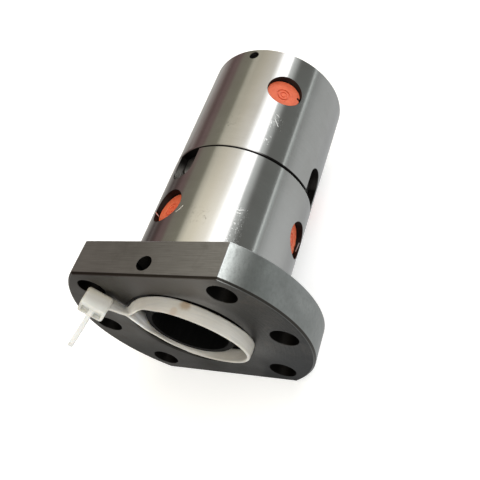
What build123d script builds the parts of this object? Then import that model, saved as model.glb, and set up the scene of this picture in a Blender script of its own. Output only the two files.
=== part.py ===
from build123d import *
import math
import os

# Preloaded double ball nut for a 32 x 5 mm right-hand ball screw track, carried on a plain
# hollow arbor that keeps its balls in, with a nylon tie looped round the arbor at the flange.
#
# The model is built in a nut frame: Z along the nut axis from the flange's front face towards
# the far end, Y normal to the flange flat with the oil port. It is then turned into the part's
# frame: +X along the axis, +Z up through the oil port, origin on the axis at the flange's seat.
# Angles run from the nut frame's X towards its Y, and a right-hand track rises with them.

# ---- flange and nut bodies (mm)
FLANGE_D = 80.0
FLANGE_ACROSS_FLATS = 62.0
FLANGE_T = 12.0
BOLT_CIRCLE_D = 65.0
BOLT_HOLE_D = 9.0
BOLT_ANGLES = (0.0, 45.0, 135.0, 180.0, 225.0, 315.0)
BODY_D = 50.0
FAR_BODY_D = 49.8
SEAM_START = 54.3
SEAM_GAP = 0.5
NUT_END = 101.5
EDGE_CHAMFER = 0.4
FLANGE_CHAMFER = 0.7

# ---- ball track
LEAD = 5.0
BALL_D = 3.175
TRACK_R = 16.25
GROOVE_R = 1.65
NUT_BORE_R = 16.4
BALLS_PER_CIRCUIT = 31

# ---- return inserts: (angle, height along the axis) of each hole
INSERT_HOLE_D = 12.4
INSERT_D = 12.25
INSERT_FACE_R = 22.7
INSERT_FOOT_D = 11.5  # the foot is smaller, clear of the neighbouring circuits' balls
INSERT_STEP_R = 18.3
INSERTS_A = ((70.0, 31.0), (190.0, 37.667), (310.0, 24.333))
INSERTS_B = ((130.0, 84.0), (250.0, 70.667), (10.0, 77.333))
CROSS_HALF = 5.5
CROSS_LIFT = 1.45

# ---- seam: counterbores for the preload spacer and the two locking slots
SPACER_SEAT_R = 21.0
SPACER_SEAT_DEPTH = 1.75
SPACER_RO = 20.8
SPACER_RI = 17.5
SLOT_W = 9.4
SLOT_A_ANGLE = 69.0
SLOT_A_END = 42.3
SLOT_A_FLOOR_R = 22.4
SLOT_A_POCKET_END = 46.3
SLOT_B_ANGLE = 189.0
SLOT_B_END = 67.0
POCKET_FLOOR_R = 19.5
TANG_W = 9.0
TANG_RI = 19.7
TANG_RO = 21.9
TANG_END_GAP = 0.35

# ---- wipers
RECESS_R = 20.75
RECESS_DEPTH = 7.0
FRONT_WIPER_FROM = 5.0
FAR_RECESS_R = 20.5
FAR_RECESS_FROM = 95.5
WIPER_RI = 14.85
GRUB_ANGLE = 94.0
GRUB_Z = 98.1
GRUB_HOLE_R = 1.75

# ---- oil port on the upper flat
OIL_Z = 4.2
OIL_TAP_R = 2.5
OIL_TAP_DEPTH = 7.0
OIL_PASSAGE_R = 1.0

# ---- arbor
ARBOR_RO = 14.55
ARBOR_RI = 12.6
ARBOR_END = 106.0

# ---- nylon tie: loop, neck, head and tail
TIE_W = 4.8
TIE_T = 1.1
LOOP_CENTRE = (-2.435, 2.07, -3.409)
LOOP_AXIS = (-0.1326, 0.0907, 1.0)
LOOP_A = 18.736
LOOP_B = 20.289
LOOP_TURN = 66.2
HEAD_CENTRE = (22.2, 19.46, -3.5)
HEAD_OUT = (0.683, 0.724, 0.089)
HEAD_AWAY = (0.727, -0.686, 0.0)
HEAD_FRONT = (0.061, 0.065, -0.996)
HEAD_L = 8.2
HEAD_W = 7.8
HEAD_T = 6.0
TAIL_END_Z = -18.0

os.makedirs("parts", exist_ok=True)

TO_PART = Plane(origin=(-FLANGE_T, 0, 0), x_dir=(0, 1, 0), z_dir=(1, 0, 0)).location


def save(name, shape):
    export_step(TO_PART * shape, f"parts/{name}.step")


def rod(r, z0, z1):
    """A cylinder on the nut axis from z0 to z1."""
    return Pos(0, 0, (z0 + z1) / 2) * Cylinder(r, z1 - z0)


def radial(angle, z):
    """A frame on the nut axis at z whose Z points out at the angle and whose X runs along the axis."""
    a = math.radians(angle)
    return Plane(
        origin=(0, 0, z), x_dir=(0, 0, 1), z_dir=(math.cos(a), math.sin(a), 0)
    ).location


def radial_rod(angle, z, r, r0, r1):
    return radial(angle, z) * (Pos(0, 0, (r0 + r1) / 2) * Cylinder(r, r1 - r0))


def slot(angle, round_end, open_end, width, r0, r1):
    """A radial slot with one round end; the open end is square."""
    half = width / 2
    side = 1 if open_end > round_end else -1
    mid = round_end + side * half
    z0, z1 = sorted((mid, open_end))
    bar = radial(angle, 0) * (
        Pos((z0 + z1) / 2, 0, (r0 + r1) / 2) * Box(z1 - z0, width, r1 - r0)
    )
    return bar + radial_rod(angle, mid, half, r0, r1)


def helix_groove(z_at_zero, z0, z1):
    """The ball track as a round cutter along a right-hand helix that passes z_at_zero at angle 0."""
    turns0 = math.floor((z0 - z_at_zero) / LEAD)
    start = z_at_zero + turns0 * LEAD
    height = math.ceil((z1 - start) / LEAD) * LEAD
    path = Helix(pitch=LEAD, height=height, radius=TRACK_R)
    profile = Plane(origin=path @ 0, z_dir=path % 0) * Circle(GROOVE_R)
    cutter = sweep(profile, path=path, is_frenet=True)
    return Pos(0, 0, start) * cutter


def crossover_point(u):
    """A point of the return crossover in an insert's own frame; u runs from -1 to 1 over the insert."""
    d = u * CROSS_HALF / TRACK_R
    if abs(u) <= 1:
        w = math.pi * (u + 1) / 2
        x = LEAD / 2 * math.cos(w)
        rho = TRACK_R + CROSS_LIFT * math.sin(w) ** 2
    else:
        x = -math.copysign(LEAD / 2, u)
        rho = TRACK_R
    x += LEAD * d / (2 * math.pi)
    return (x, -rho * math.sin(d), rho * math.cos(d))


def crossover_cutter():
    n = 26
    pts = [crossover_point(-1.3 + 2.6 * i / n) for i in range(n + 1)]
    path = Spline(*[Vector(*p) for p in pts])
    profile = Plane(origin=path @ 0, z_dir=path % 0) * Circle(GROOVE_R)
    return sweep(profile, path=path)


def make_insert():
    """A moulded return plug in its own radial frame: curved under face, crossover channel, ring marks on top."""
    top = INSERT_FACE_R
    body = Pos(0, 0, (INSERT_STEP_R + top) / 2) * Cylinder(INSERT_D / 2, top - INSERT_STEP_R)
    body = chamfer(body.edges().group_by(Axis.Z)[-1], 0.35)
    body += Pos(0, 0, (15.0 + INSERT_STEP_R) / 2 + 0.05) * Cylinder(INSERT_FOOT_D / 2, INSERT_STEP_R - 14.9)
    body -= Rot(0, 90, 0) * Cylinder(NUT_BORE_R + 0.02, 40)
    body -= CROSSOVER
    ring = Pos(0, 0, top - 0.17) * (Cylinder(2.35, 0.36) - Cylinder(1.85, 0.36))
    inner = Pos(0, 0, top - 0.12) * (Cylinder(1.2, 0.26) - Cylinder(0.8, 0.26))
    body -= ring
    body -= inner
    # slanted nick in the rim
    body -= Pos(0.45, -5.75, top - 0.4) * Rot(0, 0, 57) * Box(2.2, 0.75, 1.0)
    solids = sorted(body.solids(), key=lambda s: s.volume)
    return solids[-1]


CROSSOVER = crossover_cutter()
INSERT = make_insert()


def circuit_points(angle, z):
    """Ball centres of one closed circuit: once round the helix, then back through the insert."""
    fine = []
    steps = 600
    d0 = CROSS_HALF / TRACK_R
    for i in range(steps):
        d = d0 + (2 * math.pi - 2 * d0) * i / steps
        a = math.radians(angle) + d
        zz = z - LEAD / 2 + LEAD * d / (2 * math.pi)
        fine.append((TRACK_R * math.cos(a), TRACK_R * math.sin(a), zz))
    loc = radial(angle, z)
    for i in range(161):
        p = crossover_point(-1 + 2 * i / 160)
        v = (loc * Pos(*p)).position
        fine.append((v.X, v.Y, v.Z))
    dist = [0.0]
    for p, q in zip(fine, fine[1:] + fine[:1]):
        dist.append(dist[-1] + math.dist(p, q))
    total = dist[-1]
    out, k = [], 0
    for i in range(BALLS_PER_CIRCUIT):
        s = total * i / BALLS_PER_CIRCUIT
        while dist[k + 1] < s:
            k += 1
        out.append(fine[k % len(fine)])
    return out, total


def track_start(inserts):
    angle, z = inserts[0]
    return z - LEAD / 2 - LEAD * angle / 360


# ---- flanged nut
flange_outline = Circle(FLANGE_D / 2) & Rectangle(FLANGE_D + 10, FLANGE_ACROSS_FLATS)
flange = extrude(flange_outline, FLANGE_T)
flange = chamfer(flange.edges().group_by(Axis.Z)[0], FLANGE_CHAMFER)
flange = chamfer(flange.edges().group_by(Axis.Z)[-1], 0.4)
body = rod(BODY_D / 2, FLANGE_T - 1, SEAM_START)
body = chamfer(body.edges().group_by(Axis.Z)[-1], EDGE_CHAMFER)
flanged_nut = flange + body
flanged_nut -= rod(NUT_BORE_R, -1, SEAM_START + 1)
recess = rod(RECESS_R, -1, RECESS_DEPTH)
flanged_nut -= recess
flanged_nut -= Pos(0, 0, 0.2) * Cone(RECESS_R + 0.4, RECESS_R, 0.4)
flanged_nut -= rod(SPACER_SEAT_R, SEAM_START - SPACER_SEAT_DEPTH, SEAM_START + 1)
for a in BOLT_ANGLES:
    t = math.radians(a)
    flanged_nut -= Pos(
        BOLT_CIRCLE_D / 2 * math.cos(t), BOLT_CIRCLE_D / 2 * math.sin(t), FLANGE_T / 2
    ) * Cylinder(BOLT_HOLE_D / 2, FLANGE_T + 4)
for a, z in INSERTS_A:
    flanged_nut -= radial_rod(a, z, INSERT_HOLE_D / 2, 12.0, 30.0)
flanged_nut -= slot(SLOT_A_ANGLE, SLOT_A_END, SEAM_START + 2, SLOT_W, SLOT_A_FLOOR_R, 30)
flanged_nut -= slot(
    SLOT_A_ANGLE, SLOT_A_POCKET_END, SEAM_START + 2, SLOT_W, POCKET_FLOOR_R, 24
)
flanged_nut -= radial_rod(
    90, OIL_Z, OIL_TAP_R, FLANGE_ACROSS_FLATS / 2 - OIL_TAP_DEPTH, 40
)
# the slanted grease passage from the tapped mouth to the first turn of the track
p0 = Vector(0, 24.5, 5.2)
p1 = Vector(0, 15.6, 13.2)
passage_dir = p1 - p0
flanged_nut -= Plane(origin=(p0 + p1) * 0.5, z_dir=passage_dir).location * Cylinder(
    OIL_PASSAGE_R, passage_dir.length
)
groove_a = helix_groove(track_start(INSERTS_A), 9.0, SEAM_START + 3)
flanged_nut -= groove_a & rod(19.0, RECESS_DEPTH + 0.6, SEAM_START + 1)
save("flanged_nut", flanged_nut)

# ---- cylindrical nut
far_start = SEAM_START + SEAM_GAP
cylindrical_nut = rod(FAR_BODY_D / 2, far_start, NUT_END)
cylindrical_nut = chamfer(cylindrical_nut.edges().group_by(Axis.Z)[0], EDGE_CHAMFER)
cylindrical_nut = chamfer(cylindrical_nut.edges().group_by(Axis.Z)[-1], 0.6)
cylindrical_nut -= rod(NUT_BORE_R, far_start - 1, NUT_END + 1)
cylindrical_nut -= rod(SPACER_SEAT_R, far_start - 1, far_start + SPACER_SEAT_DEPTH)
cylindrical_nut -= rod(FAR_RECESS_R, FAR_RECESS_FROM, NUT_END + 1)
cylindrical_nut -= Pos(0, 0, NUT_END - 0.2) * Cone(FAR_RECESS_R, FAR_RECESS_R + 0.4, 0.4)
for a, z in INSERTS_B:
    cylindrical_nut -= radial_rod(a, z, INSERT_HOLE_D / 2, 12.0, 30.0)
cylindrical_nut -= slot(SLOT_B_ANGLE, SLOT_B_END, far_start - 2, SLOT_W, POCKET_FLOOR_R, 30)
cylindrical_nut -= radial_rod(GRUB_ANGLE, GRUB_Z, GRUB_HOLE_R, 18.0, 30.0)
groove_b = helix_groove(track_start(INSERTS_B), far_start - 1, FAR_RECESS_FROM)
cylindrical_nut -= groove_b & rod(19.0, far_start - 1, FAR_RECESS_FROM - 0.6)
save("cylindrical_nut", cylindrical_nut)

# ---- preload spacer: a ring seated in both nuts, with one tang into each nut's slot
s0 = SEAM_START - SPACER_SEAT_DEPTH
s1 = far_start + SPACER_SEAT_DEPTH
spacer = rod(SPACER_RO, s0, s1) - rod(SPACER_RI, s0 - 1, s1 + 1)
spacer += slot(
    SLOT_A_ANGLE,
    SLOT_A_POCKET_END + TANG_END_GAP,
    far_start - 0.2,
    TANG_W,
    TANG_RI,
    TANG_RO,
)
spacer += slot(
    SLOT_B_ANGLE, SLOT_B_END - 3.5, SEAM_START + 0.2, TANG_W, TANG_RI, TANG_RO
)
# the first tang stops in the seam, short of the other nut's end face
spacer -= Rot(0, 0, SLOT_A_ANGLE) * Pos(26.0, 0, far_start + 4.8) * Box(20, 20, 10) - rod(
    SPACER_RO, far_start - 1, far_start + 13.0
)
save("preload_spacer", spacer)

# ---- return inserts and ball circuits
for nut, inserts in (("a", INSERTS_A), ("b", INSERTS_B)):
    for i, (a, z) in enumerate(inserts, 1):
        save(f"return_insert_{nut}{i}", radial(a, z) * INSERT)
        centres, length = circuit_points(a, z)
        balls = [Pos(*c) * Sphere(BALL_D / 2) for c in centres]
        gap = min(math.dist(p, q) for p, q in zip(centres, centres[1:] + centres[:1]))
        print("circuit", nut, i, "length", round(length, 2), "least pitch", round(gap, 3))
        save(f"ball_circuit_{nut}{i}", Compound(children=balls))

# ---- wipers
front_wiper = rod(RECESS_R - 0.05, FRONT_WIPER_FROM, RECESS_DEPTH) - rod(
    WIPER_RI, FRONT_WIPER_FROM - 1, RECESS_DEPTH + 1
)
front_wiper -= Pos(0, 0, FRONT_WIPER_FROM + 0.5) * Cone(WIPER_RI + 1.2, WIPER_RI, 1.0)
save("front_wiper", front_wiper)
far_wiper = rod(FAR_RECESS_R - 0.05, FAR_RECESS_FROM, NUT_END - 0.7) - rod(
    WIPER_RI, FAR_RECESS_FROM - 1, NUT_END + 1
)
far_wiper -= Pos(0, 0, NUT_END - 0.7 - 0.8) * Cone(WIPER_RI, WIPER_RI + 1.6, 1.6)
far_wiper -= radial_rod(GRUB_ANGLE, GRUB_Z, 1.9, 19.4, 22.0)
save("far_wiper", far_wiper)
grub = Pos(0, 0, 21.7) * Cylinder(GRUB_HOLE_R - 0.03, 4.0)
grub = chamfer(grub.edges().group_by(Axis.Z)[0], 0.4)
grub -= Pos(0, 0, 22.7) * extrude(RegularPolygon(1.0, 6, major_radius=False), 1.5)
save("wiper_grub_screw", radial(GRUB_ANGLE, GRUB_Z) * grub)

# ---- arbor
arbor = rod(ARBOR_RO, 0, ARBOR_END)
arbor = chamfer(arbor.edges().group_by(Axis.Z)[0], 0.3)
arbor = chamfer(arbor.edges().group_by(Axis.Z)[-1], 0.8)
arbor -= rod(ARBOR_RI, -1, ARBOR_END + 1)
save("arbor", arbor)

# ---- nylon tie
n = Vector(*LOOP_AXIS).normalized()
u = Vector(1, 0, 0)
u = (u - n * u.dot(n)).normalized()
loop_plane = Plane(origin=LOOP_CENTRE, x_dir=u, z_dir=n)
loop = extrude(
    loop_plane
    * (
        Ellipse(LOOP_A, LOOP_B, rotation=LOOP_TURN)
        - Ellipse(LOOP_A - TIE_T, LOOP_B - TIE_T, rotation=LOOP_TURN)
    ),
    TIE_W,
)
head_c = Vector(*HEAD_CENTRE)
out = Vector(*HEAD_OUT).normalized()
away = Vector(*HEAD_AWAY)
away = (away - out * away.dot(out)).normalized()
front = out.cross(away)
if front.Z > 0:
    front = front * -1
head_plane = Plane(origin=head_c, x_dir=out, z_dir=front)
head = head_plane.location * Box(HEAD_L, HEAD_W, HEAD_T)
head = fillet(head.edges(), 0.9)
tail_len = (head_c.Z - TAIL_END_Z) / abs(front.Z)
tail = head_plane.location * (Pos(0, 0, tail_len / 2) * Box(TIE_T, TIE_W, tail_len))
# the neck: the strap leaves the loop's far side tangentially, still on its edge, and runs
# straight to the head's near corner
NECK = (
    (16.05, 6.4, 0.9, 4.6),
    (15.75, 11.2, -0.6, 4.5),
    (16.45, 14.3, -2.2, 4.2),
    (17.75, 18.6, -2.35, 4.1),
)
sections = []
for i, (px, py, pz, w) in enumerate(NECK):
    q0 = NECK[max(i - 1, 0)]
    q1 = NECK[min(i + 1, len(NECK) - 1)]
    along = Vector(q1[0] - q0[0], q1[1] - q0[1], 0).normalized()
    sections.append(Plane(origin=(px, py, pz), x_dir=(0, 0, 1), z_dir=along) * Rectangle(w, 1.25))
neck = loft(sections, ruled=True)
tie = loop + head + tail + neck
# the part of the tie outside the recess stays clear of the flange face
tie -= rod(60.0, -0.2, 12.0) - rod(20.3, -1.0, 13.0)
print("tie solids", len(tie.solids()), "volume", round(tie.volume, 1))
save("nylon_tie", tie)
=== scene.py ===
import math

import bmesh
import bpy
from mathutils import Matrix, Vector


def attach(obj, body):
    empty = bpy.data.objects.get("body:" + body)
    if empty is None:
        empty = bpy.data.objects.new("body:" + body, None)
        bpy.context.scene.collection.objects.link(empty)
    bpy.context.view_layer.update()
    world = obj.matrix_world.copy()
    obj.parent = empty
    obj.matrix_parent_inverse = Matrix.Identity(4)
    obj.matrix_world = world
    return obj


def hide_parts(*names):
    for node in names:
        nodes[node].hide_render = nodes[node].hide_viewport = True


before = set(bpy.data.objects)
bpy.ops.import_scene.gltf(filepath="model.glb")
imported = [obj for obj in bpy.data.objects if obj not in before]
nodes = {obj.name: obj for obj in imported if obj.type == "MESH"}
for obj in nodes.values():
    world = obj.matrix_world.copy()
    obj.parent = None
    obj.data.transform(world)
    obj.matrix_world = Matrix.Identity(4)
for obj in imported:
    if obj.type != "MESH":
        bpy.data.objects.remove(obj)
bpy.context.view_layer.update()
MM = 0.001


def at(x, y, z):
    """A point in the part's frame, given in millimetres."""
    return Vector((x * MM, y * MM, z * MM))


# ------------------------------------------------------------------ material helpers
class Mat:
    """Builds one procedural material; every call adds a node and returns its output."""

    def __init__(self, name):
        self.m = bpy.data.materials.new(name)
        self.m.use_nodes = True
        self.t = self.m.node_tree
        self.t.nodes.clear()
        self.out = self.t.nodes.new("ShaderNodeOutputMaterial")
        self.b = self.t.nodes.new("ShaderNodeBsdfPrincipled")
        self.t.links.new(self.b.outputs[0], self.out.inputs["Surface"])
        self.tc = self.t.nodes.new("ShaderNodeTexCoord")
        self.obj = self.tc.outputs["Object"]
        self.sep = None

    def put(self, node, key, v):
        s = node.inputs[key]
        if isinstance(v, bpy.types.NodeSocket):
            self.t.links.new(v, s)
        else:
            s.default_value = v

    def set(self, **kw):
        for k, v in kw.items():
            self.put(self.b, k.replace("_", " "), v)
        return self

    def math(self, op, a, b=0.0, c=0.0, clamp=False):
        n = self.t.nodes.new("ShaderNodeMath")
        n.operation = op
        n.use_clamp = clamp
        for i, v in enumerate((a, b, c)):
            self.put(n, i, v)
        return n.outputs[0]

    def xyz(self):
        if self.sep is None:
            s = self.t.nodes.new("ShaderNodeSeparateXYZ")
            self.t.links.new(self.obj, s.inputs[0])
            x, y, z = (self.math("MULTIPLY", s.outputs[i], 1000.0) for i in range(3))
            rr = self.math("SQRT", self.math("ADD", self.math("MULTIPLY", y, y), self.math("MULTIPLY", z, z)))
            ang = self.math("MULTIPLY", self.math("ARCTAN2", z, y), 180 / math.pi)
            self.sep = (x, y, z, rr, ang)
        return self.sep

    def step(self, v, lo, hi):
        """0 below lo, 1 above hi, smooth between them; the other way round if lo is above hi."""
        n = self.t.nodes.new("ShaderNodeMapRange")
        n.interpolation_type = "SMOOTHSTEP"
        self.put(n, "Value", v)
        a, b, c, d = (lo, hi, 0.0, 1.0) if lo < hi else (hi, lo, 1.0, 0.0)
        for k, w in zip(("From Min", "From Max", "To Min", "To Max"), (a, b, c, d)):
            n.inputs[k].default_value = w
        return n.outputs["Result"]

    def window(self, v, lo, hi, soft):
        return self.math("MULTIPLY", self.step(v, lo - soft, lo + soft), self.step(v, hi + soft, hi - soft))

    def map(self, v, a, b, c, d):
        n = self.t.nodes.new("ShaderNodeMapRange")
        self.put(n, "Value", v)
        for k, w in zip(("From Min", "From Max", "To Min", "To Max"), (a, b, c, d)):
            n.inputs[k].default_value = w
        return n.outputs["Result"]

    def vec(self, x, y, z):
        n = self.t.nodes.new("ShaderNodeCombineXYZ")
        for i, v in enumerate((x, y, z)):
            self.put(n, i, v)
        return n.outputs[0]

    def scaled(self, sx, sy, sz):
        n = self.t.nodes.new("ShaderNodeMapping")
        self.t.links.new(self.obj, n.inputs["Vector"])
        n.inputs["Scale"].default_value = (sx, sy, sz)
        return n.outputs[0]

    def noise(self, vector, scale, detail=3.0, rough=0.55, distort=0.0):
        n = self.t.nodes.new("ShaderNodeTexNoise")
        self.put(n, "Vector", vector)
        n.inputs["Scale"].default_value = scale
        n.inputs["Detail"].default_value = detail
        n.inputs["Roughness"].default_value = rough
        n.inputs["Distortion"].default_value = distort
        return n.outputs["Fac"]

    def voronoi(self, vector, scale, feature="F1", rand=1.0):
        n = self.t.nodes.new("ShaderNodeTexVoronoi")
        n.feature = feature
        self.put(n, "Vector", vector)
        n.inputs["Scale"].default_value = scale
        n.inputs["Randomness"].default_value = rand
        return n.outputs["Distance"]

    def mix(self, f, a, b):
        n = self.t.nodes.new("ShaderNodeMix")
        n.data_type = "RGBA"
        self.put(n, "Factor", f)
        for key, v in (("A", a), ("B", b)):
            s = [i for i in n.inputs if i.name == key and i.type == "RGBA"][0]
            if isinstance(v, bpy.types.NodeSocket):
                self.t.links.new(v, s)
            else:
                s.default_value = (*v, 1.0)
        return [o for o in n.outputs if o.type == "RGBA"][0]

    def lerp(self, f, a, b):
        n = self.t.nodes.new("ShaderNodeMix")
        n.data_type = "FLOAT"
        self.put(n, "Factor", f)
        for key, v in (("A", a), ("B", b)):
            s = [i for i in n.inputs if i.name == key and i.type == "VALUE"][0]
            self.put_socket(s, v)
        return [o for o in n.outputs if o.type == "VALUE"][0]

    def put_socket(self, s, v):
        if isinstance(v, bpy.types.NodeSocket):
            self.t.links.new(v, s)
        else:
            s.default_value = v

    def bump(self, height, strength, distance, normal=None):
        n = self.t.nodes.new("ShaderNodeBump")
        self.put(n, "Height", height)
        self.put(n, "Strength", strength)
        n.inputs["Distance"].default_value = distance
        if normal is not None:
            self.t.links.new(normal, n.inputs["Normal"])
        return n.outputs[0]

    def from_line(self, p, a, b):
        """Distance in mm from the point to a short straight line."""
        def vm(op, *given):
            n = self.t.nodes.new("ShaderNodeVectorMath")
            n.operation = op
            for s, v in zip(n.inputs, given):
                self.put_socket(s, v)
            return n

        u = tuple(q - w for q, w in zip(b, a))
        pa = vm("SUBTRACT", p, a).outputs["Vector"]
        t = self.math("DIVIDE", vm("DOT_PRODUCT", pa, u).outputs["Value"], sum(c * c for c in u), clamp=True)
        foot = vm("MULTIPLY", self.vec(t, t, t), u).outputs["Vector"]
        return vm("DISTANCE", pa, foot).outputs["Value"]

    def tangent_about(self, axis):
        n = self.t.nodes.new("ShaderNodeTangent")
        n.direction_type = "RADIAL"
        n.axis = axis
        return n.outputs[0]


def dress(node, material):
    o = nodes[node]
    for i in range(len(o.data.materials)):
        o.data.materials[i] = material
    if not o.data.materials:
        o.data.materials.append(material)


# ------------------------------------------------------------------ ground steel of the two nuts
# scuffed places: from and to along the axis, from and to in angle
MARKS_FLANGED = [(7.0, 21.0, 127.0, 136.5)]
MARKS_PLAIN = [(54.0, 60.5, 127.5, 137.5), (47.0, 51.0, 128.0, 133.0)]
# fine dark scratches: from and to along the axis, from and to in angle
LINES_FLANGED = [(11.5, 17.5, 96.0, 110.0)]
LINES_PLAIN = [(50.5, 57.0, 95.0, 104.0)]
# return-insert holes: angle and place along the axis of each
HOLES_FLANGED = [(70.0, 19.0), (190.0, 25.667), (310.0, 12.333)]
HOLES_PLAIN = [(130.0, 72.0), (250.0, 58.667), (10.0, 65.333)]


def on(x, deg, r=25.0):
    a = math.radians(deg)
    return (x, r * math.cos(a), r * math.sin(a))


# short bright nicks and fine white threads: two ends, half width, strength
WHITE_FLANGED = [
    (on(15.3, 84.4), on(16.3, 86.9), 0.19, 1.0),
    (on(16.3, 86.9), on(17.5, 88.3), 0.19, 1.0),
    (on(18.9, 53.6), on(18.5, 55.8), 0.20, 1.0),
    (on(18.5, 55.8), (17.93, 13.54, 19.36), 0.20, 1.0),
    ((25.22, -21.74, -10.28), (28.4, -22.45, -9.71), 0.20, 0.6),
    (on(19.6, 128.4), on(20.4, 131.8), 0.15, 0.8),
    (on(18.6, 128.6), on(18.8, 130.4), 0.20, 0.8),
    (on(14.8, 129.1), on(14.7, 129.5), 0.24, 0.9),
]
WHITE_PLAIN = [
    (on(58.6, 130.0), on(56.0, 134.6), 0.14, 0.75),
    (on(60.6, 130.2), on(60.0, 132.7), 0.15, 0.7),
    (on(49.2, 129.3), on(49.0, 129.8), 0.22, 0.8),
]


def nut_steel(name, with_flange):
    m = Mat(name)
    x, y, z, r, ang = m.xyz()
    # circumferential grinding: fine across the axis, long round it
    around = m.math("MULTIPLY", ang, 0.035)
    lines = m.noise(m.vec(m.math("MULTIPLY", x, 9.0), around, m.math("MULTIPLY", r, 0.5)), 1.0, 5.0, 0.7)
    broad = m.noise(m.vec(m.math("MULTIPLY", x, 0.7), m.math("MULTIPLY", ang, 0.02), 3.0), 1.0, 2.0, 0.5)
    cloud = m.noise(m.scaled(1, 1, 1), 90.0, 4.0, 0.6)
    fine = m.noise(m.scaled(1, 1, 1), 900.0, 3.0, 0.6)
    col = m.mix(m.map(cloud, 0.3, 0.7, 0.0, 1.0), (0.40, 0.395, 0.385), (0.455, 0.455, 0.45))
    col = m.mix(m.map(lines, 0.35, 0.65, 0.0, 0.5), col, (0.36, 0.36, 0.355))
    rough = m.math("ADD", m.map(lines, 0.3, 0.7, 0.10, 0.14), m.map(broad, 0.3, 0.7, -0.01, 0.02))
    # painted reflection: the two pale sides are painted a little brighter near the flange and duller at the far end
    sunny = m.window(ang, 98.0, 118.0, 3.0)
    shade = m.window(ang, 150.0, 177.0, 7.0)
    nearer, further = m.map(x, 48.0, 14.0, 0.0, 1.0), m.map(x, 48.0, 84.0, 0.0, 1.0)
    col = m.mix(m.math("MULTIPLY", nearer, sunny), col, (0.57, 0.565, 0.55))
    col = m.mix(m.math("MULTIPLY", further, sunny), col, (0.35, 0.345, 0.335))
    col = m.mix(m.math("MULTIPLY", nearer, m.math("MULTIPLY", shade, 0.5)), col, (0.55, 0.55, 0.545))
    col = m.mix(m.math("MULTIPLY", further, m.math("MULTIPLY", shade, 0.4)), col, (0.35, 0.35, 0.345))
    if with_flange:
        # painted reflection: a dark band along the flanged nut between about 62 and 73 degrees
        col = m.mix(m.math("MULTIPLY", m.window(ang, 62.0, 73.5, 3.0), 0.8), col, (0.12, 0.112, 0.11))
    # faces that the grinding wheel didn't touch: bores, slots, insert holes; they are rougher, and painted near black
    # as shade in these recesses
    inner = m.step(r, 24.75, 24.55)
    if with_flange:
        flange = m.step(x, 0.12, -0.05)
        inner = m.math("MULTIPLY", inner, m.math("SUBTRACT", 1.0, flange))
    for deg, hx in HOLES_FLANGED if with_flange else HOLES_PLAIN:
        ca, sa = math.cos(math.radians(deg)), math.sin(math.radians(deg))
        along = m.math("SUBTRACT", x, hx)
        across = m.math("SUBTRACT", m.math("MULTIPLY", z, ca), m.math("MULTIPLY", y, sa))
        outward = m.math("ADD", m.math("MULTIPLY", y, ca), m.math("MULTIPLY", z, sa))
        d = m.math("SQRT", m.math("ADD", m.math("MULTIPLY", along, along), m.math("MULTIPLY", across, across)))
        inner = m.math("MAXIMUM", inner, m.math("MULTIPLY", m.step(d, 6.27, 6.22), m.step(outward, 10.0, 11.0)))
    recess_shade_and_light = (0.034, 0.031, 0.029)
    if with_flange:
        # painted light and shade in the upper locking slot: its shallow end is painted paler, as lit, than its deep end
        # in shade
        shallow = m.math("MULTIPLY", m.step(x, 40.5, 35.5), m.math("MULTIPLY", m.window(ang, 54.0, 84.0, 1.0), m.window(x, 29.5, 42.2, 0.3)))
        sideways = m.math("SUBTRACT", m.math("MULTIPLY", z, math.cos(math.radians(69.0))), m.math("MULTIPLY", y, math.sin(math.radians(69.0))))
        past = m.math("MINIMUM", m.math("SUBTRACT", x, 35.0), 0.0)
        rim_gap = m.math("SQRT", m.math("ADD", m.math("MULTIPLY", sideways, sideways), m.math("MULTIPLY", past, past)))
        side = m.mix(m.step(x, 31.2, 35.0), (0.10, 0.097, 0.093), (0.36, 0.35, 0.34))
        paler = m.mix(m.step(rim_gap, 4.45, 4.62), (0.13, 0.128, 0.12), side)
        recess_shade_and_light = m.mix(shallow, recess_shade_and_light, paler)
        wall = m.math("MULTIPLY", m.step(m.math("ABSOLUTE", sideways), 4.76, 4.72), m.math("MULTIPLY", m.step(z, 5.0, 6.0), m.step(x, 30.2, 30.4)))
        inner = m.math("MAXIMUM", inner, m.math("MULTIPLY", wall, m.step(x, 34.9, 35.1)))
    col = m.mix(inner, col, recess_shade_and_light)
    rough = m.lerp(inner, rough, 0.5)
    side_on = m.math("ABSOLUTE", ang)
    if with_flange:
        # painted highlight: a thin bright line on the flanged nut's edge beside the seam
        seam_edge_highlight = m.math("MULTIPLY", m.window(x, 41.86, 42.24, 0.04), m.step(r, 24.5, 24.6))
        seam_edge_highlight = m.math("MULTIPLY", seam_edge_highlight, m.step(side_on, 148.0, 160.0))
        col = m.mix(seam_edge_highlight, col, (0.95, 0.95, 0.93))
        rough = m.lerp(seam_edge_highlight, rough, 0.5)
        seam = m.step(x, 42.24, 42.28)
    else:
        # the edge beside the seam, in shadow, and more of it on the far side
        seam = m.math("MULTIPLY", m.step(x, 43.25, 43.2), m.step(side_on, 122.0, 136.0))
        seam = m.math("MAXIMUM", seam, m.step(x, 42.9, 42.84))
    col = m.mix(seam, col, (0.018, 0.017, 0.016))
    rough = m.lerp(seam, rough, 0.6)
    height = m.math("ADD", m.math("MULTIPLY", lines, 0.6), m.math("MULTIPLY", fine, 0.12))
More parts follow.
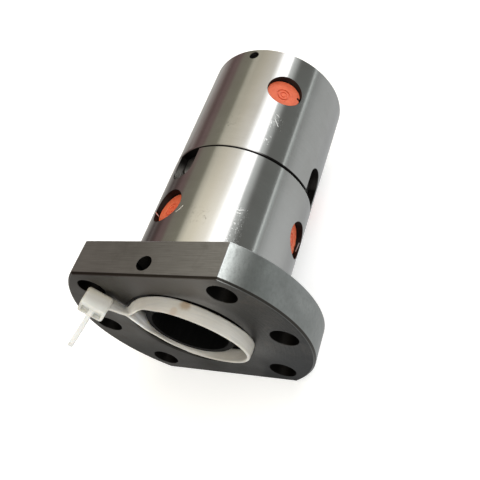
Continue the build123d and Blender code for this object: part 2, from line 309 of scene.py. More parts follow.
    # handling marks: short nicks and scuffs in a few places
    nick = m.voronoi(m.vec(m.math("MULTIPLY", x, 1.3), m.math("MULTIPLY", ang, 0.55), 0.0), 1.0)
    tear = m.noise(m.vec(m.math("MULTIPLY", x, 1.1), m.math("MULTIPLY", ang, 0.9), 0.0), 1.0, 5.0, 0.7, 1.2)
    where = None
    for x0, x1, a0, a1 in MARKS_FLANGED if with_flange else MARKS_PLAIN:
        w = m.math("MULTIPLY", m.window(x, x0, x1, 1.2), m.window(ang, a0, a1, 1.5))
        where = w if where is None else m.math("MAXIMUM", where, w)
    scuff = m.math("MULTIPLY", where, m.step(tear, 0.56, 0.66))
    height = m.math("SUBTRACT", height, m.math("MULTIPLY", scuff, 6.0))
    rough = m.math("ADD", rough, m.math("MULTIPLY", scuff, 0.3))
    col = m.mix(m.math("MULTIPLY", scuff, 0.8), col, (0.95, 0.95, 0.94))
    fleck = m.math("MULTIPLY", m.step(nick, 0.10, 0.05), m.step(tear, 0.47, 0.53))
    col = m.mix(m.math("MULTIPLY", fleck, 0.6), col, (0.14, 0.13, 0.12))
    # fine dark scratches: thin bands of a stretched noise where it crosses its middle
    hair = m.noise(m.vec(m.math("MULTIPLY", x, 0.42), m.math("MULTIPLY", ang, 0.19), 7.0), 1.0, 2.0, 0.45, 0.9)
    hair = m.step(m.math("ABSOLUTE", m.math("SUBTRACT", hair, 0.5)), 0.014, 0.005)
    breaks = m.step(m.noise(m.vec(m.math("MULTIPLY", x, 0.9), m.math("MULTIPLY", ang, 0.5), 2.0), 1.0, 2.0, 0.5), 0.46, 0.54)
    for x0, x1, a0, a1 in LINES_FLANGED if with_flange else LINES_PLAIN:
        w = m.math("MULTIPLY", m.window(x, x0, x1, 0.8), m.window(ang, a0, a1, 1.5))
        w = m.math("MULTIPLY", m.math("MULTIPLY", w, hair), breaks)
        col = m.mix(m.math("MULTIPLY", w, 0.75), col, (0.10, 0.095, 0.09))
        height = m.math("SUBTRACT", height, m.math("MULTIPLY", w, 4.0))
    here = m.vec(x, y, z)
    for p0, p1, half, level in WHITE_FLANGED if with_flange else WHITE_PLAIN:
        w = m.step(m.from_line(here, p0, p1), half * 1.3, half * 0.7)
        col = m.mix(m.math("MULTIPLY", w, level), col, (1.0, 1.0, 0.99))
        rough = m.lerp(w, rough, 0.75)
    strength = 0.035
    if with_flange:
        rim = m.math("MULTIPLY", m.math("MULTIPLY", flange, m.step(r, 39.2, 39.5)), m.step(m.math("ABSOLUTE", z), 30.98, 30.92))
        front = m.math("MULTIPLY", flange, m.step(x, -11.2, -11.5))
        flats = m.math("MULTIPLY", flange, m.step(m.math("ABSOLUTE", z), 30.3, 30.6))
        patch = m.noise(m.scaled(1, 1, 1), 55.0, 5.0, 0.62, 0.4)
        blotch = m.noise(m.scaled(1, 1, 1), 140.0, 4.0, 0.65, 0.8)
        ay, az = m.math("ABSOLUTE", y), m.math("ABSOLUTE", z)

        def from_hole(cy, cz):
            dy, dz = m.math("SUBTRACT", ay, cy), m.math("SUBTRACT", az, cz)
            return m.math("SQRT", m.math("ADD", m.math("MULTIPLY", dy, dy), m.math("MULTIPLY", dz, dz)))

        near = m.math("MINIMUM", from_hole(32.5, 0.0), from_hole(22.981, 22.981))
        holes = m.math("MULTIPLY", m.step(near, 4.62, 4.52), m.math("MULTIPLY", m.step(x, -11.9, -11.7), flange))
        grain = m.noise(m.scaled(1, 1, 1), 1500.0, 2.0, 0.6)
        turned = m.noise(m.vec(m.math("MULTIPLY", r, 2.6), m.math("MULTIPLY", ang, 0.02), 5.0), 1.0, 4.0, 0.7)
        dark = m.mix(m.map(patch, 0.35, 0.65, 0.0, 1.0), (0.074, 0.071, 0.066), (0.134, 0.131, 0.124))
        # painted shade: the front face is painted darker across towards -Y and -Z
        shade_slope = m.math("ADD", m.math("MULTIPLY", y, 1.0), m.math("MULTIPLY", z, 0.35))
        dark = m.mix(m.math("MULTIPLY", m.step(shade_slope, 30.0, -44.0), 0.94), dark, (0.018, 0.018, 0.0175))
        dark = m.mix(m.map(blotch, 0.50, 0.68, 0.0, 0.7), dark, (0.072, 0.062, 0.052))
        dark = m.mix(m.map(turned, 0.42, 0.66, 0.0, 0.35), dark, (0.11, 0.108, 0.103))
        # painted shade: the face is painted darker round the recess, under the tie
        dark = m.mix(m.math("MULTIPLY", m.step(r, 24.5, 20.8), 0.5), dark, (0.05, 0.047, 0.043))
        dark = m.mix(m.map(grain, 0.3, 0.7, 0.0, 0.35), dark, (0.10, 0.095, 0.09))
        # the face is painted darker low down, as shade, and paler above the recess
        dark = m.mix(m.math("MULTIPLY", m.step(z, -4.0, -19.0), m.map(y, 22.0, -18.0, 0.60, 0.95)), dark, (0.010, 0.010, 0.0098))
        dark = m.mix(m.math("MULTIPLY", m.math("MULTIPLY", m.step(z, 8.0, 24.0), m.window(y, -22.0, 8.0, 6.0)), 0.75), dark, (0.20, 0.193, 0.182))
        flat_col = m.mix(m.map(patch, 0.3, 0.7, 0.0, 1.0), (0.27, 0.265, 0.28), (0.37, 0.365, 0.385))
        # painted light: the flats are painted paler towards -Y, next to the rim's highlight
        flat_col = m.mix(m.step(y, 8.0, -24.0), flat_col, (0.43, 0.43, 0.455))
        ground = m.noise(m.vec(m.math("MULTIPLY", x, 3.2), m.math("MULTIPLY", y, 0.10), 1.0), 1.0, 4.0, 0.75)
        flat_col = m.mix(m.map(ground, 0.36, 0.66, 0.0, 0.55), flat_col, (0.20, 0.195, 0.20))
        flat_col = m.mix(m.map(blotch, 0.55, 0.75, 0.0, 0.35), flat_col, (0.17, 0.16, 0.155))
        rim_col = m.mix(m.map(patch, 0.35, 0.65, 0.0, 1.0), (0.25, 0.26, 0.255), (0.36, 0.37, 0.365))
        # painted highlight on the rim next to its corner with the upper flat
        rim_col = m.mix(m.math("MULTIPLY", m.step(ang, 141.5, 130.0), m.step(ang, 120.0, 127.0)), rim_col, (0.92, 0.95, 0.94))
        mottle = m.noise(m.vec(m.math("MULTIPLY", x, 0.8), m.math("MULTIPLY", ang, 0.8), 4.0), 1.0, 5.0, 0.72, 0.3)
        rim_col = m.mix(m.map(mottle, 0.46, 0.68, 0.0, 0.30), rim_col, (0.17, 0.175, 0.17))
        col = m.mix(flange, col, dark)
        col = m.mix(flats, col, flat_col)
        col = m.mix(rim, col, rim_col)
        # painted dark reflection: a dark line along the front chamfer of the flats and the rim
        edge = m.math("MULTIPLY", m.step(x, -11.25, -11.4), m.math("MAXIMUM", m.step(az, 30.35, 30.5), m.step(r, 39.3, 39.5)))
        col = m.mix(edge, col, (0.055, 0.05, 0.045))
        # painted shade: the inside of the bolt holes and of the lube hole on top is painted near black
        ox = m.math("ADD", x, 7.8)
        lube_hole_shade = m.math("SQRT", m.math("ADD", m.math("MULTIPLY", ox, ox), m.math("MULTIPLY", y, y)))
        lube_hole_shade = m.math("MULTIPLY", m.step(lube_hole_shade, 2.75, 2.65), m.math("MULTIPLY", m.step(z, 23.0, 23.5), m.step(z, 30.95, 30.8)))
        holes = m.math("MAXIMUM", holes, lube_hole_shade)
        col = m.mix(holes, col, (0.012, 0.011, 0.01))
        rough = m.lerp(flange, rough, m.map(patch, 0.3, 0.7, 0.40, 0.52))
        rough = m.lerp(flats, rough, m.map(patch, 0.3, 0.7, 0.30, 0.40))
        rough = m.lerp(rim, rough, m.map(blotch, 0.3, 0.7, 0.30, 0.42))
        rough = m.lerp(holes, rough, 0.65)
        height = m.lerp(flange, height, m.math("ADD", m.math("MULTIPLY", grain, 0.5), m.math("MULTIPLY", fine, 0.6)))
        strength = m.lerp(flange, 0.035, 0.08)
    m.set(Base_Color=col, Roughness=rough, Metallic=1.0, Anisotropic=0.75, Anisotropic_Rotation=0.25)
    m.set(Tangent=m.tangent_about("X"))
    m.set(Normal=m.bump(height, strength, 0.0004))
    return m.m


# ------------------------------------------------------------------ other materials
def orange_plastic():
    m = Mat("moulded_orange")
    cloud = m.noise(m.scaled(1, 1, 1), 350.0, 4.0, 0.6)
    pits = m.voronoi(m.scaled(1, 1, 1), 900.0)
    speck = m.step(pits, 0.22, 0.06)
    x, y, z, r, ang = m.xyz()
    col = m.mix(m.map(cloud, 0.3, 0.7, 0.0, 1.0), (0.66, 0.105, 0.04), (0.80, 0.17, 0.075))
    col = m.mix(m.math("MULTIPLY", speck, 0.45), col, (0.42, 0.06, 0.03))
    # painted shade: the inside of the slanted nick in each rim is painted dark
    for deg, hx in HOLES_FLANGED + HOLES_PLAIN:
        ca, sa = math.cos(math.radians(deg)), math.sin(math.radians(deg))
        along = m.math("SUBTRACT", x, hx + 0.45)
        across = m.math("SUBTRACT", m.math("SUBTRACT", m.math("MULTIPLY", z, ca), m.math("MULTIPLY", y, sa)), 5.75)
        outward = m.math("ADD", m.math("MULTIPLY", y, ca), m.math("MULTIPLY", z, sa))
        d = m.math("SQRT", m.math("ADD", m.math("MULTIPLY", along, along), m.math("MULTIPLY", across, across)))
        nick = m.math("MULTIPLY", m.step(d, 1.35, 1.25), m.math("MULTIPLY", m.step(outward, 22.66, 22.6), m.step(outward, 20.0, 20.5)))
        col = m.mix(nick, col, (0.025, 0.012, 0.010))
    m.set(Base_Color=col, Roughness=m.map(cloud, 0.3, 0.7, 0.42, 0.6), Subsurface_Weight=0.12)
    m.b.inputs["Subsurface Radius"].default_value = (0.8, 0.25, 0.12)
    m.b.inputs["Subsurface Scale"].default_value = 0.001
    m.set(Normal=m.bump(m.math("SUBTRACT", cloud, m.math("MULTIPLY", speck, 0.8)), 0.3, 0.0002))
    return m.m


def ball_steel():
    m = Mat("polished_balls")
    fine = m.noise(m.scaled(1, 1, 1), 2600.0, 3.0, 0.6)
    film = m.noise(m.scaled(1, 1, 1), 500.0, 3.0, 0.6)
    m.set(
        Base_Color=m.mix(m.map(film, 0.3, 0.7, 0.0, 1.0), (0.58, 0.57, 0.55), (0.66, 0.66, 0.65)),
        Metallic=1.0,
        Roughness=m.map(fine, 0.3, 0.7, 0.05, 0.13),
    )
    return m.m


def turned_steel(name, base, lit_tang_end=False):
    m = Mat(name)
    x, y, z, r, ang = m.xyz()
    lines = m.noise(m.vec(m.math("MULTIPLY", x, 4.0), m.math("MULTIPLY", ang, 0.03), m.math("MULTIPLY", r, 4.0)), 1.0, 4.0, 0.6)
    col = m.mix(m.map(lines, 0.3, 0.7, 0.0, 1.0), tuple(0.8 * c for c in base), base)
    if lit_tang_end:
        # painted light: the end of the tang in the upper slot is painted bright, as lit
        tang_light = m.math("MULTIPLY", m.step(x, 40.0, 35.5), m.window(ang, 52.0, 86.0, 1.0))
        col = m.mix(tang_light, col, m.mix(m.map(lines, 0.3, 0.7, 0.0, 1.0), (0.56, 0.555, 0.53), (0.66, 0.65, 0.63)))
    m.set(
        Base_Color=col,
        Metallic=1.0,
        Roughness=m.map(lines, 0.3, 0.7, 0.28, 0.42),
        Normal=m.bump(lines, 0.08, 0.0002),
    )
    return m.m


def dark_plastic(name, base, rough, level=0.3):
    m = Mat(name)
    grain = m.noise(m.scaled(1, 1, 1), 1200.0, 4.0, 0.6)
    streak = m.noise(m.scaled(40, 900, 900), 1.0, 3.0, 0.6)
    m.set(
        Base_Color=m.mix(m.map(streak, 0.3, 0.7, 0.0, 1.0), base, tuple(min(1, 1.8 * c + 0.001) for c in base)),
        Roughness=m.map(grain, 0.3, 0.7, rough - 0.06, rough + 0.08),
        Normal=m.bump(m.math("ADD", grain, streak), 0.10, 0.0002),
    )
    m.set(Specular_IOR_Level=level)
    return m.m


def nylon():
    m = Mat("natural_nylon")
    x, y, z, r, ang = m.xyz()
    cloud = m.noise(m.scaled(1, 1, 1), 160.0, 4.0, 0.6)
    fine = m.noise(m.scaled(1, 1, 1), 1800.0, 3.0, 0.6)
    broad = m.noise(m.scaled(1, 1, 1), 70.0, 3.0, 0.5)
    col = m.mix(m.map(cloud, 0.3, 0.7, 0.0, 1.0), (0.50, 0.475, 0.425), (0.575, 0.555, 0.51))
    col = m.mix(m.map(broad, 0.4, 0.62, 0.0, 0.6), col, (0.60, 0.585, 0.555))
    # the head's front half and the tail are paler
    pale = m.math("MULTIPLY", m.step(x, -15.2, -17.6), m.step(r, 24.5, 26.0))
    col = m.mix(pale, col, (0.70, 0.70, 0.665))
    col = m.mix(m.step(x, -18.3, -21.0), col, (0.80, 0.80, 0.785))
    # painted light: the inside of the loop's far strap is painted pale where it lies in shade
    inside = m.math("MULTIPLY", m.window(ang, 8.0, 62.0, 9.0), m.math("MULTIPLY", m.step(r, 19.6, 17.8), m.step(x, -10.8, -11.8)))
    col = m.mix(inside, col, (0.86, 0.86, 0.84))
    streak = m.noise(m.vec(m.math("MULTIPLY", x, 1.1), m.math("MULTIPLY", ang, 0.035), 0.0), 1.0, 4.0, 0.6, 0.3)
    streak = m.math("MULTIPLY", m.map(streak, 0.42, 0.68, 0.0, 0.55), m.math("MULTIPLY", m.step(x, -19.0, -17.5), m.step(r, 25.5, 24.0)))
    col = m.mix(streak, col, (0.43, 0.425, 0.41))
    # the back of the head and the neck are a little brown
    brown = m.math("MULTIPLY", m.step(x, -15.0, -13.2), m.step(r, 22.0, 24.5))
    col = m.mix(m.math("MULTIPLY", brown, 0.6), col, (0.52, 0.475, 0.38))
    # rubbed-in dirt on the outside of the loop
    def spot(cx, cy, cz, size, amount, tone, base):
        dx, dy, dz = (m.math("SUBTRACT", a, c) for a, c in ((x, cx), (y, cy), (z, cz)))
        d = m.math("SQRT", m.math("ADD", m.math("MULTIPLY", dx, dx), m.math("ADD", m.math("MULTIPLY", dy, dy), m.math("MULTIPLY", dz, dz))))
        d = m.math("ADD", d, m.math("MULTIPLY", m.math("SUBTRACT", cloud, 0.5), 3.0))
        return m.mix(m.math("MULTIPLY", m.step(d, size, size * 0.35), amount), base, tone)

    col = spot(-14.2, -10.6, 20.0, 2.2, 0.8, (0.33, 0.23, 0.14), col)
    col = spot(-16.8, -7.6, 20.6, 1.4, 0.5, (0.45, 0.33, 0.24), col)
    m.set(
        Base_Color=col,
        Roughness=m.map(fine, 0.3, 0.7, 0.34, 0.46),
        Subsurface_Weight=0.35,
        Normal=m.bump(m.math("ADD", fine, m.math("MULTIPLY", cloud, 2.0)), 0.08, 0.0003),
    )
    m.b.inputs["Subsurface Radius"].default_value = (1.0, 0.85, 0.65)
    m.b.inputs["Subsurface Scale"].default_value = 0.0012
    return m.m


dress("flanged_nut", nut_steel("ground_steel_flanged", True))
dress("cylindrical_nut", nut_steel("ground_steel_plain", False))
orange = orange_plastic()
balls = ball_steel()
for g in "ab":
    for i in (1, 2, 3):
        dress(f"return_insert_{g}{i}", orange)
        dress(f"ball_circuit_{g}{i}", balls)
dress("preload_spacer", turned_steel("turned_spacer", (0.30, 0.30, 0.295), True))
dress("wiper_grub_screw", turned_steel("black_oxide_grub", (0.05, 0.05, 0.05)))
dress("front_wiper", dark_plastic("wiper_dark_front", (0.012, 0.012, 0.013), 0.5))
dress("far_wiper", dark_plastic("wiper_dark_far", (0.012, 0.012, 0.013), 0.5))
dress("arbor", dark_plastic("arbor_black", (0.0015, 0.0015, 0.0015), 0.6, 0.08))
dress("nylon_tie", nylon())


# ------------------------------------------------------------------ nylon tie: strap, neck, head and tail
def polar(deg, r, x):
    """A point on the strap: angle about the axis from +Y towards +Z, radius, distance behind the front face."""
    a = math.radians(deg)
    return Vector((x - 12.0, r * math.cos(a), r * math.sin(a)))


def plain(y, z, x):
    return Vector((x - 12.0, y, z))


# front edge of the strap's outer face, from the hidden end behind the neck, round the loop and up the neck
RIM_FRONT = [
    plain(18.2, 20.4, -4.9), plain(16.5, 18.3, -4.4), plain(15.1, 16.0, -3.75), plain(14.2, 14.5, -3.3),
    plain(13.2, 13.65, -3.05), plain(11.9, 14.1, -3.05), plain(9.8, 15.6, -3.2), plain(7.0, 17.5, -3.6),
    plain(3.7, 19.3, -4.2), polar(91.0, 20.3, -4.9), polar(103.2, 21.5, -5.45),
    polar(116.5, 22.25, -6.02), polar(129.3, 22.82, -6.42), polar(141.6, 23.13, -6.60), polar(153.8, 23.12, -6.58),
    polar(166.0, 22.79, -6.33), polar(178.5, 22.15, -5.89), polar(191.5, 21.25, -5.28), polar(205.3, 20.19, -4.54),
    polar(220.1, 19.10, -3.72), polar(236.0, 18.10, -2.88), polar(252.8, 17.25, -2.20), polar(270.2, 16.70, -1.65),
    polar(287.8, 16.40, -1.25), polar(299.0, 16.15, -1.15), polar(320.0, 15.45, -1.20), polar(342.9, 14.90, -1.45),
    polar(362.0, 15.60, -1.95), polar(382.5, 17.10, -2.55), polar(391.0, 18.30, -2.90), polar(398.5, 19.90, -3.30),
    plain(16.3, 14.8, -3.95), plain(17.7, 18.3, -4.55), plain(18.9, 20.9, -5.1),
]
# back edge of the same face
RIM_BACK = [
    plain(19.0, 20.6, -0.8), plain(17.9, 18.6, -0.6), plain(17.1, 16.3, -0.45), plain(16.6, 14.5, -0.4),
    plain(15.7, 13.6, -0.38), plain(14.2, 14.6, -0.35), plain(12.0, 16.5, -0.35), plain(9.2, 18.4, -0.4),
    plain(6.2, 20.05, -0.5), polar(84.5, 21.15, -0.45), polar(98.0, 21.7, -0.55),
    polar(112.0, 22.6, -1.0), polar(127.0, 23.4, -1.55), polar(140.5, 23.89, -1.87), polar(153.5, 23.88, -1.84),
    polar(166.5, 23.45, -1.55), polar(179.5, 22.65, -1.05), polar(192.5, 21.55, -0.40), polar(206.5, 20.40, 0.35),
    polar(221.0, 19.20, 1.10), polar(237.0, 18.00, 1.96), polar(253.5, 17.00, 2.76), polar(270.5, 16.33, 3.43),
    polar(287.5, 16.05, 3.96), polar(299.0, 16.00, 4.20), polar(320.0, 16.02, 4.48), polar(343.0, 16.30, 4.42),
    polar(362.0, 16.90, 3.70), polar(380.0, 17.90, 2.30), polar(389.5, 19.45, 0.90), plain(17.1, 12.4, -0.38),
    plain(18.1, 15.0, -0.45), plain(18.9, 17.8, -0.6), plain(19.7, 20.2, -0.8),
]
STRAP_T = 1.25


def spline(points, per):
    """Catmull-Rom curve through the points."""
    out = []
    n = len(points)
    for i in range(n - 1):
        p0, p1, p2, p3 = points[max(i - 1, 0)], points[i], points[i + 1], points[min(i + 2, n - 1)]
        for k in range(per):
            t = k / per
            out.append(0.5 * ((2 * p1) + (p2 - p0) * t + (2 * p0 - 5 * p1 + 4 * p2 - p3) * t * t + (3 * p1 - p0 - 3 * p2 + p3) * t ** 3))
    out.append(points[-1].copy())
    return out


def add_strap(bm, fronts, backs, thick):
    """Strap with a slightly crowned outer face; where it lies on the arbor its front edge leans in over the arbor's end."""
    n = len(fronts)
    rings = []
    frames = []
    for i in range(n):
        f, b = fronts[i], backs[i]
        k0, k1 = max(i - 1, 0), min(i + 1, n - 1)
        run = ((fronts[k1] + backs[k1]) - (fronts[k0] + backs[k0])).normalized()
        frames.append((run, f, b))
    run, f, b = frames[n // 2]
    mid = (f + b) / 2
    side = -1.0 if run.cross((b - f).normalized()).dot(Vector((0, mid.y, mid.z))) > 0 else 1.0
    for run, f, b in frames:
        flat = (run.cross((b - f).normalized()) * side).normalized()
        m = (f + b) / 2 - flat * 0.12
        rf = math.hypot(f.y, f.z)
        rb = math.hypot(b.y, b.z)
        if b.x + 12.0 > 0.8 and rf < 16.6:
            # on the arbor: keep clear of its wall behind the front face
            s0 = (-0.5 - (f.x + 12.0)) / (b.x - f.x)
            rm = max(15.98, rf + (rb - rf) * s0)
            c = f + (b - f) * s0
            k = rm / math.hypot(c.y, c.z)
            m = Vector((-12.5, c.y * k, c.z * k))
        w1, w2 = (m - f).normalized(), (b - m).normalized()
        n1 = (run.cross(w1) * side).normalized()
        n2 = (run.cross(w2) * side).normalized()
        nm = (n1 + n2).normalized()
        grow = 1.0 / max(0.5, nm.dot(n1))
        tf = thick * 0.8
        e = 0.34
        sec = [f + w1 * e, f + n1 * e, f + n1 * (tf - e), f + n1 * tf + w1 * e, m + nm * thick * grow,
               b + n2 * thick - w2 * e, b + n2 * (thick - e), b + n2 * e, b - w2 * e, m]
        rings.append([bm.verts.new(p * MM) for p in sec])
    q = len(rings[0])
    for i in range(n - 1):
        for k in range(q):
            bm.faces.new((rings[i][k], rings[i][(k + 1) % q], rings[i + 1][(k + 1) % q], rings[i + 1][k]))
    bm.faces.new(rings[0][::-1])
    bm.faces.new(rings[-1])
    bmesh.ops.triangulate(bm, faces=list(bm.faces))


head_at = Vector((-3.5 - 12.0, 22.2, 19.46))
head_out = Vector((0.089, 0.683, 0.724)).normalized()
head_front = Vector((-0.996, 0.061, 0.065))
head_front = (head_front - head_out * head_front.dot(head_out)).normalized()
head_away = head_front.cross(head_out).normalized()
if head_away.y < 0:
    head_away = -head_away


def add_block(bm, lo, hi):
    """A block in the head's own directions: outward, away from the bolt hole above, towards the front."""
    vs = []
    for i in range(8):
        c = [hi[k] if (i >> k) & 1 else lo[k] for k in range(3)]
        vs.append(bm.verts.new((head_at + head_out * c[0] + head_away * c[1] + head_front * c[2]) * MM))
    for q in ((0, 1, 3, 2), (4, 6, 7, 5), (0, 4, 5, 1), (2, 3, 7, 6), (0, 2, 6, 4), (1, 5, 7, 3)):
        bm.faces.new([vs[k] for k in q])


def add_tail(bm):
    """Cut tail: thin strip with a slight bend, narrowing a little towards its end."""
    rings = []
    stations = [(-2.5, 0.0, 0.0, 4.8), (3.0, 0.0, 0.0, 4.8), (6.0, -0.02, 0.05, 4.7), (9.0, 0.02, 0.12, 4.5), (12.0, 0.1, 0.1, 4.3), (14.42, 0.18, 0.0, 4.1)]
    for h, u, v, w in stations:
        c = head_at + head_front * h + head_out * u + head_away * v
        pts = []
        for su, sv in ((-1, -1), (1, -1), (1, 1), (-1, 1)):
            pts.append(bm.verts.new((c + head_out * (su * 0.72) + head_away * (sv * w / 2)) * MM))
        rings.append(pts)
    for i in range(len(rings) - 1):
        for k in range(4):
            bm.faces.new((rings[i][k], rings[i][(k + 1) % 4], rings[i + 1][(k + 1) % 4], rings[i + 1][k]))
    bm.faces.new(rings[0][::-1])
    bm.faces.new(rings[-1])


def as_object(bm, name):
    me = bpy.data.meshes.new(name)
    bm.to_mesh(me)
    bm.free()
    o = bpy.data.objects.new(name, me)
    bpy.context.scene.collection.objects.link(o)
    return o


def tie_mesh():
    parts = []
    bm = bmesh.new()
    add_strap(bm, spline(RIM_FRONT, 6), spline(RIM_BACK, 6), STRAP_T)
    parts.append(bm)
    # head: rounded block, with a pocket in front on each side of the tail
    bm = bmesh.new()
    add_block(bm, (-4.15, -3.95, -3.0), (4.15, 3.95, 3.05))
    bmesh.ops.recalc_face_normals(bm, faces=bm.faces)
    bmesh.ops.bevel(bm, geom=list(bm.edges), offset=0.75 * MM, segments=4, profile=0.5, affect="EDGES")
    head = as_object(bm, "head_block")
    bm = bmesh.new()
    add_block(bm, (0.95, -2.3, 1.7), (3.15, 2.5, 4.0))
    add_block(bm, (-3.1, -2.3, 1.7), (-0.95, 2.5, 4.0))
    bmesh.ops.recalc_face_normals(bm, faces=bm.faces)
    pockets = as_object(bm, "head_pockets")
    cut = head.modifiers.new("pockets", "BOOLEAN")
    cut.operation = "DIFFERENCE"
    cut.solver = "EXACT"
    cut.object = pockets
    me = bpy.data.meshes.new_from_object(head.evaluated_get(bpy.context.evaluated_depsgraph_get()))
    bm = bmesh.new()
    bm.from_mesh(me)
    parts.append(bm)
    for o in (head, pockets):
        bpy.data.objects.remove(o)
    bm = bmesh.new()
    add_tail(bm)
    parts.append(bm)
    whole = bmesh.new()
    for p in parts:
        bmesh.ops.recalc_face_normals(p, faces=p.faces)
        me = bpy.data.meshes.new("tmp")
        p.to_mesh(me)
        p.free()
        whole.from_mesh(me)
        bpy.data.meshes.remove(me)
    me = bpy.data.meshes.new("tie_rough")
    whole.to_mesh(me)
    whole.free()
    rough = bpy.data.objects.new("tie_rough", me)
    bpy.context.scene.collection.objects.link(rough)
    rm = rough.modifiers.new("merge", "REMESH")
    rm.mode = "VOXEL"
    rm.voxel_size = 0.14 * MM
    rm.use_smooth_shade = True
    sm = rough.modifiers.new("soften", "SMOOTH")
    sm.factor = 0.5
    sm.iterations = 16
    dep = bpy.context.evaluated_depsgraph_get()
    done = bpy.data.meshes.new_from_object(rough.evaluated_get(dep))
    bpy.data.objects.remove(rough)
    bpy.data.meshes.remove(me)
    # the strap bears on the arbor's end and on the recess without cutting into them
    for v in done.vertices:
        x, y, z = (c / MM for c in v.co)
        d = x + 12.0
        r = math.hypot(y, z)
        if d > -0.06 and r < 14.62:
            if d < 0.35:
                x = -12.06
            else:
                k = 14.62 / r
                y, z = y * k, z * k
        if d > -0.15 and r > 20.55:
            if r - 20.55 < d + 0.15:
                k = 20.55 / r
                y, z = y * k, z * k
            else:
                x = -12.15
        x = max(x, -29.9)
        v.co = (x * MM, y * MM, z * MM)
    for p in done.polygons:
        p.use_smooth = True
    return done


tie = bpy.data.objects.new("tie_strap_and_head", tie_mesh())
bpy.context.scene.collection.objects.link(tie)
tie.data.materials.clear()
tie.data.materials.append(bpy.data.materials["natural_nylon"])
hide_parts("nylon_tie")
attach(tie, "tie")

# ------------------------------------------------------------------ floor, light and camera
floor_z = -0.0312


def floor_material():
    m = Mat("pale_floor")
    soft = m.noise(m.scaled(1, 1, 1), 3.0, 2.0, 0.5)
    m.set(
        Base_Color=m.mix(m.map(soft, 0.3, 0.7, 0.0, 1.0), (0.79, 0.79, 0.785), (0.81, 0.81, 0.81)),
        Roughness=0.9,
        Specular_IOR_Level=0.1,
    )
    m.set(Emission_Color=(1, 1, 1, 1), Emission_Strength=0.45)
    return m.m


bpy.ops.mesh.primitive_grid_add(x_subdivisions=8, y_subdivisions=8, size=8.0, location=(0, 0, floor_z))
floor = bpy.context.object
floor.name = "floor"
floor.data.materials.append(floor_material())

# a soft studio tent: broad strips of light and dark card that run along the nut's axis
world = bpy.data.worlds.new("studio")
bpy.context.scene.world = world
world.use_nodes = True
wt = world.node_tree
wt.nodes.clear()
w_out = wt.nodes.new("ShaderNodeOutputWorld")
w_bg = wt.nodes.new("ShaderNodeBackground")
w_tc = wt.nodes.new("ShaderNodeTexCoord")
w_sep = wt.nodes.new("ShaderNodeSeparateXYZ")
w_atan = wt.nodes.new("ShaderNodeMath")
w_atan.operation = "ARCTAN2"
w_scale = wt.nodes.new("ShaderNodeMath")
w_scale.operation = "MULTIPLY"
w_scale.inputs[1].default_value = 1 / math.pi
w_ramp = wt.nodes.new("ShaderNodeValToRGB")
wt.links.new(w_tc.outputs["Generated"], w_sep.inputs[0])
wt.links.new(w_sep.outputs["Z"], w_atan.inputs[0])
wt.links.new(w_sep.outputs["Y"], w_atan.inputs[1])
wt.links.new(w_atan.outputs[0], w_scale.inputs[0])
wt.links.new(w_scale.outputs[0], w_ramp.inputs["Fac"])
wt.links.new(w_ramp.outputs["Color"], w_bg.inputs["Color"])
wt.links.new(w_bg.outputs[0], w_out.inputs["Surface"])
STRIPS = [
    (0, (0.125, 0.108, 0.103)),
    (4, (0.118, 0.099, 0.092)),
    (8.5, (0.090, 0.068, 0.063)),
    (13, (0.068, 0.046, 0.043)),
    (17, (0.066, 0.044, 0.042)),
    (22, (0.090, 0.062, 0.060)),
    (31, (0.092, 0.067, 0.061)),
    (36, (0.118, 0.108, 0.088)),
    (57, (0.132, 0.126, 0.098)),
    (61, (0.29, 0.275, 0.225)),
    (80, (0.37, 0.345, 0.285)),
    (98, (0.455, 0.435, 0.39)),
    (104, (0.56, 0.55, 0.52)),
    (108, (0.82, 0.815, 0.80)),
    (111, (1.0, 1.0, 1.0)),
    (127.6, (1.0, 1.0, 1.0)),
    (129, (0.41, 0.425, 0.42)),
    (135.5, (0.285, 0.295, 0.285)),
    (138.5, (0.205, 0.21, 0.205)),
    (141.5, (0.115, 0.118, 0.113)),
    (145, (0.088, 0.09, 0.085)),
    (166, (0.092, 0.096, 0.091)),
    (171.4, (0.108, 0.112, 0.108)),
    (173.2, (0.54, 0.57, 0.555)),
    (175.2, (0.225, 0.24, 0.235)),
    (180, (0.185, 0.195, 0.19)),
]
cr = w_ramp.color_ramp
cr.interpolation = "LINEAR"
while len(cr.elements) > 1:
    cr.elements.remove(cr.elements[-1])
for k, (deg, colour) in enumerate(STRIPS):
    e = cr.elements[0] if k == 0 else cr.elements.new(deg / 180)
    e.position = deg / 180
    e.color = (*colour, 1.0)
w_bg.inputs["Strength"].default_value = 2.9

# the camera sees plain white beyond the floor; only reflections and the light itself come from the strips
w_white = wt.nodes.new("ShaderNodeBackground")
w_white.inputs["Color"].default_value = (1.0, 1.0, 1.0, 1.0)
w_white.inputs["Strength"].default_value = 1.0
w_path = wt.nodes.new("ShaderNodeLightPath")
w_mix = wt.nodes.new("ShaderNodeMixShader")
wt.links.new(w_path.outputs["Is Camera Ray"], w_mix.inputs[0])
wt.links.new(w_bg.outputs[0], w_mix.inputs[1])
wt.links.new(w_white.outputs[0], w_mix.inputs[2])
wt.links.new(w_mix.outputs[0], w_out.inputs["Surface"])


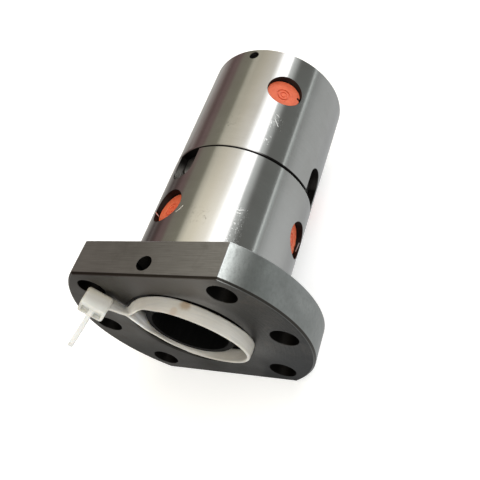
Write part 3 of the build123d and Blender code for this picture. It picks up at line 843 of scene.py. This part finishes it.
def card(name, y0, y1, stops, near_stops=None):
    """A low card beside the part that only the steel's reflections see; stops are (distance from the axis in mm, brightness).

    near_stops hold for the part of the card that the nut beside the flange reflects.
    """
    n = 12
    bm = bmesh.new()
    x0, x1 = -3.9, 3.9
    low = [bm.verts.new((x0 + (x1 - x0) * k / n, y0, floor_z + 0.0004)) for k in range(n + 1)]
    high = [bm.verts.new((x0 + (x1 - x0) * k / n, y1, floor_z + 0.0004)) for k in range(n + 1)]
    for k in range(n):
        bm.faces.new((low[k], low[k + 1], high[k + 1], high[k]))
    o = as_object(bm, name)
    mat = bpy.data.materials.new(name)
    mat.use_nodes = True
    t = mat.node_tree
    t.nodes.clear()
    out = t.nodes.new("ShaderNodeOutputMaterial")
    em = t.nodes.new("ShaderNodeEmission")
    tc = t.nodes.new("ShaderNodeTexCoord")
    sp = t.nodes.new("ShaderNodeSeparateXYZ")
    ab = t.nodes.new("ShaderNodeMath")
    ab.operation = "ABSOLUTE"
    mr = t.nodes.new("ShaderNodeMapRange")
    last = stops[-1][0]
    mr.inputs["From Min"].default_value = 0.0
    mr.inputs["From Max"].default_value = last * MM
    ramps = []
    for wanted in (stops, near_stops or stops):
        ramp = t.nodes.new("ShaderNodeValToRGB")
        while len(ramp.color_ramp.elements) > 1:
            ramp.color_ramp.elements.remove(ramp.color_ramp.elements[-1])
        for k, (d, v) in enumerate(wanted):
            e = ramp.color_ramp.elements[0] if k == 0 else ramp.color_ramp.elements.new(d / last)
            e.position = d / last
            e.color = (*v, 1.0)
        t.links.new(mr.outputs["Result"], ramp.inputs["Fac"])
        ramps.append(ramp)
    slope = t.nodes.new("ShaderNodeMath")
    slope.operation = "MULTIPLY_ADD"
    slope.inputs[1].default_value = -0.738
    part = t.nodes.new("ShaderNodeMapRange")
    part.inputs["From Min"].default_value = 46 * MM
    part.inputs["From Max"].default_value = 30 * MM
    both = t.nodes.new("ShaderNodeMixRGB")
    t.links.new(tc.outputs["Object"], sp.inputs[0])
    t.links.new(sp.outputs["Y"], ab.inputs[0])
    t.links.new(ab.outputs[0], mr.inputs["Value"])
    t.links.new(ab.outputs[0], slope.inputs[0])
    t.links.new(sp.outputs["X"], slope.inputs[2])
    t.links.new(slope.outputs[0], part.inputs["Value"])
    t.links.new(part.outputs["Result"], both.inputs["Fac"])
    t.links.new(ramps[0].outputs["Color"], both.inputs["Color1"])
    t.links.new(ramps[1].outputs["Color"], both.inputs["Color2"])
    t.links.new(both.outputs["Color"], em.inputs["Color"])
    t.links.new(em.outputs[0], out.inputs["Surface"])
    o.data.materials.append(mat)
    o.visible_camera = False
    o.visible_diffuse = False
    o.visible_shadow = False
    o.visible_transmission = False
    return o


card("grey_card_right", -3.9, -0.012, [
    (0, (0.56, 0.57, 0.57)), (14, (0.54, 0.55, 0.55)), (20, (0.50, 0.51, 0.51)), (26, (0.53, 0.54, 0.54)), (33, (0.63, 0.64, 0.64)),
    (41, (0.69, 0.705, 0.70)), (60, (0.715, 0.73, 0.72)), (87, (0.735, 0.755, 0.745)), (147, (0.71, 0.73, 0.72)),
    (400, (0.59, 0.61, 0.60)), (3900, (0.55, 0.57, 0.56)),
])
card("grey_card_left", 0.03, 3.9, [
    (0, (0.9, 0.9, 0.88)), (44, (0.80, 0.78, 0.75)), (75, (0.62, 0.60, 0.57)), (130, (0.50, 0.485, 0.46)), (200, (0.56, 0.54, 0.51)),
    (380, (0.45, 0.39, 0.365)), (1500, (0.42, 0.365, 0.34)), (3900, (0.40, 0.35, 0.32)),
], [
    (0, (0.9, 0.9, 0.88)), (44, (0.70, 0.69, 0.66)), (75, (0.50, 0.48, 0.455)), (130, (0.37, 0.35, 0.33)), (200, (0.30, 0.28, 0.26)),
    (380, (0.26, 0.225, 0.21)), (1500, (0.17, 0.135, 0.125)), (3900, (0.15, 0.115, 0.11)),
])

cam_data = bpy.data.cameras.new("camera")
cam = bpy.data.objects.new("camera", cam_data)
bpy.context.scene.collection.objects.link(cam)
cam_data.sensor_width = 36.0
cam_data.lens = 639.593 / 480 * 36.0
cam_data.shift_x = (240 - 265.926) / 480
cam_data.shift_y = (253.426 - 240) / 480
right = Vector((0.275868, -0.885222, -0.37454))
up = Vector((0.820538, 0.013939, 0.571423))
back = Vector((-0.500615, -0.464961, 0.730203))
turn = Matrix((right, up, back)).transposed().to_4x4()
cam.matrix_world = Matrix.Translation(at(-85.221, -112.695, 149.679)) @ turn
cam_data.clip_start = 0.005
cam_data.clip_end = 20.0
bpy.context.scene.camera = cam

scene = bpy.context.scene
scene.view_settings.view_transform = "Standard"
scene.view_settings.look = "None"
scene.view_settings.exposure = 0.0
scene.view_settings.gamma = 1.0
